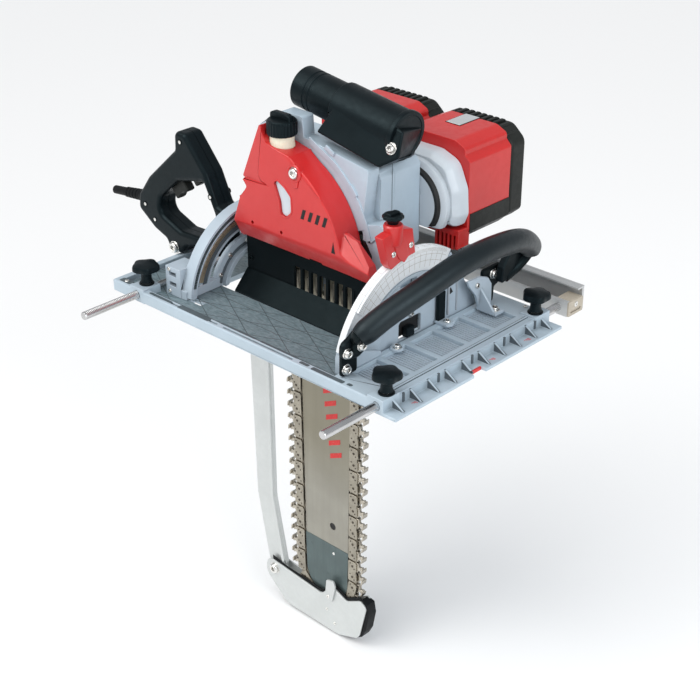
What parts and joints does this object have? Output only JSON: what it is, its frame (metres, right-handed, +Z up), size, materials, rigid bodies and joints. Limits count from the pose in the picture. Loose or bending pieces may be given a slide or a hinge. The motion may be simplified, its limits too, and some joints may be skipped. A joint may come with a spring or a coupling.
{
  "type": "timber chain saw",
  "caption": "Portable electric timber chain saw: a tilting motor unit with a downward guide bar and chain on a cast base plate, with grips, a sliding edge fence and a hinged tip guard.",
  "frame": {"origin": "on the underside of the base plate, in the plane of the chain, at the front quadrant: the point about which the saw unit tilts", "axes": "+X is the feed direction, towards the front handle; +Y is the motor side; +Z is up, away from the timber"},
  "size_m": [0.5847, 0.43, 0.7338],
  "materials": {
    "plate_paint": "satin grey-blue paint on a casting",
    "white_paint": "satin white paint on a casting",
    "housing_paint": "satin grey paint on a casting",
    "red_plastic": "glossy moulded plastic",
    "red_paint": "glossy red paint",
    "black_plastic": "grained moulded plastic",
    "black_paint": "satin black paint",
    "grip_rubber": "soft grained rubber",
    "tube_steel": "dull steel",
    "rod_steel": "drawn bright steel",
    "bar_steel": "ground steel with wear",
    "chain_steel": "oiled steel links",
    "zinc_plated": "bright zinc plating",
    "scale_brass": "satin brass",
    "bare_aluminium": "satin aluminium",
    "oil_tank_plastic": "translucent-looking cream plastic",
    "motor_core": "laminated steel and windings"
  },
  "bodies": {
    "base": {"base_plate": "plate_paint", "rear_quadrant": "plate_paint", "rear_scale_strip": "scale_brass", "front_quadrant": "white_paint", "front_scale": "white_paint", "near_handle_strap": "black_paint", "far_handle_strap": "black_paint", "strap_bolt_low": "zinc_plated", "strap_bolt_high": "zinc_plated", "far_strap_bolt": "zinc_plated", "far_handle_foot": "plate_paint", "bail_tube": "tube_steel", "bail_grip": "grip_rubber", "handle_shell_near": "black_plastic", "handle_shell_far": "black_plastic", "switch_block": "black_plastic", "handle_bolt": "zinc_plated", "strain_relief": "grip_rubber"},
    "trigger": {"trigger": "black_plastic"},
    "lock_button": {"lock_button": "black_plastic"},
    "knob_near_front": {"rod_knob_near_front": "black_plastic"},
    "knob_far_front": {"rod_knob_far_front": "black_plastic"},
    "knob_near_rear": {"rod_knob_near_rear": "black_plastic"},
    "side_fence": {"fence_rail": "bare_aluminium", "guide_rod_front": "rod_steel", "guide_rod_rear": "rod_steel"},
    "saw_unit": {"gear_housing": "housing_paint", "gearbox_rear": "housing_paint", "motor_bell_front": "housing_paint", "motor_bell_rear": "housing_paint", "motor_casing_front": "red_plastic", "motor_casing_rear": "red_plastic", "motor_cap_front": "black_plastic", "motor_cap_rear": "black_plastic", "guide_bar": "bar_steel", "saw_chain": "chain_steel", "guard_arm": "bare_aluminium", "chain_cover": "red_paint", "cover_screw": "zinc_plated", "oil_tank": "oil_tank_plastic", "chain_skirt": "black_paint", "dust_box": "black_plastic", "dust_clamp_screw": "zinc_plated", "bevel_clamp": "red_paint"},
    "drive_spindle": {"drive_shaft": "rod_steel", "drive_gear": "bar_steel", "drive_sprocket": "bar_steel"},
    "armature_front": {"armature_front": "motor_core"},
    "armature_rear": {"armature_rear": "motor_core"},
    "nose_wheel": {"nose_sprocket": "bar_steel"},
    "tip_guard": {"tip_guard_near": "bare_aluminium", "tip_guard_far": "bare_aluminium", "guard_liner": "grip_rubber", "guard_bolt": "zinc_plated", "guard_latch": "bare_aluminium"},
    "oil_cap": {"oil_cap": "black_plastic"},
    "dust_nozzle": {"dust_nozzle": "black_plastic"},
    "clamp_lever": {"clamp_lever": "black_plastic"}
  },
  "joints": [
    {"name": "tilt", "type": "hinge", "parent": "base", "child": "saw_unit", "pos_m": [0, 0, 0], "axis": [1, 0, 0], "range_deg": [0, 60]},
    {"name": "trigger_press", "type": "slide", "parent": "base", "child": "trigger", "axis": [-0.6157, 0, 0.788], "range_m": [0, 0.005], "stiffness_N_per_m": 600, "springref_m": -0.004},
    {"name": "lock_press", "type": "slide", "parent": "base", "child": "lock_button", "axis": [-0.6157, 0, 0.788], "range_m": [0, 0.004], "stiffness_N_per_m": 500, "springref_m": -0.003},
    {"name": "knob_near_front_turn", "type": "hinge", "parent": "base", "child": "knob_near_front", "pos_m": [0.066, -0.119, 0.021], "axis": [0, 0, 1], "range_deg": [-180, 180]},
    {"name": "knob_far_front_turn", "type": "hinge", "parent": "base", "child": "knob_far_front", "pos_m": [0.066, 0.134, 0.021], "axis": [0, 0, 1], "range_deg": [-180, 180]},
    {"name": "knob_near_rear_turn", "type": "hinge", "parent": "base", "child": "knob_near_rear", "pos_m": [-0.315, -0.119, 0.021], "axis": [0, 0, 1], "range_deg": [-180, 180]},
    {"name": "fence_slide", "type": "slide", "parent": "base", "child": "side_fence", "axis": [0, 1, 0], "range_m": [-0.026, 0.075]},
    {"name": "drive_turn", "type": "hinge", "parent": "saw_unit", "child": "drive_spindle", "pos_m": [-0.135, 0, 0.112], "axis": [0, 1, 0], "continuous": true},
    {"name": "armature_front_turn", "type": "hinge", "parent": "saw_unit", "child": "armature_front", "pos_m": [-0.076, 0.1, 0.14], "axis": [0, 1, 0], "continuous": true},
    {"name": "armature_rear_turn", "type": "hinge", "parent": "saw_unit", "child": "armature_rear", "pos_m": [-0.194, 0.1, 0.14], "axis": [0, 1, 0], "continuous": true},
    {"name": "nose_turn", "type": "hinge", "parent": "saw_unit", "child": "nose_wheel", "pos_m": [-0.135, 0, -0.376], "axis": [0, 1, 0], "continuous": true},
    {"name": "tip_guard_swing", "type": "hinge", "parent": "saw_unit", "child": "tip_guard", "pos_m": [-0.226, 0, -0.411], "axis": [0, 1, 0], "range_deg": [0, 90]},
    {"name": "oil_cap_turn", "type": "hinge", "parent": "saw_unit", "child": "oil_cap", "pos_m": [-0.175, -0.0265, 0.214], "axis": [0, 0, 1], "range_deg": [-180, 180]},
    {"name": "nozzle_turn", "type": "hinge", "parent": "saw_unit", "child": "dust_nozzle", "pos_m": [-0.195, 0.03, 0.251], "axis": [0.9898, 0, -0.1423], "range_deg": [-90, 90]},
    {"name": "clamp_lever_turn", "type": "hinge", "parent": "saw_unit", "child": "clamp_lever", "pos_m": [-0.003, -0.0345, 0.16], "axis": [0, 0, 1], "range_deg": [-60, 90]}
  ],
  "couplings": [
    {"joint": "armature_front_turn", "follows": "drive_turn", "ratio": -6.6353},
    {"joint": "armature_rear_turn", "follows": "drive_turn", "ratio": -6.6353},
    {"joint": "nose_turn", "follows": "drive_turn", "ratio": 1.1538}
  ]
}
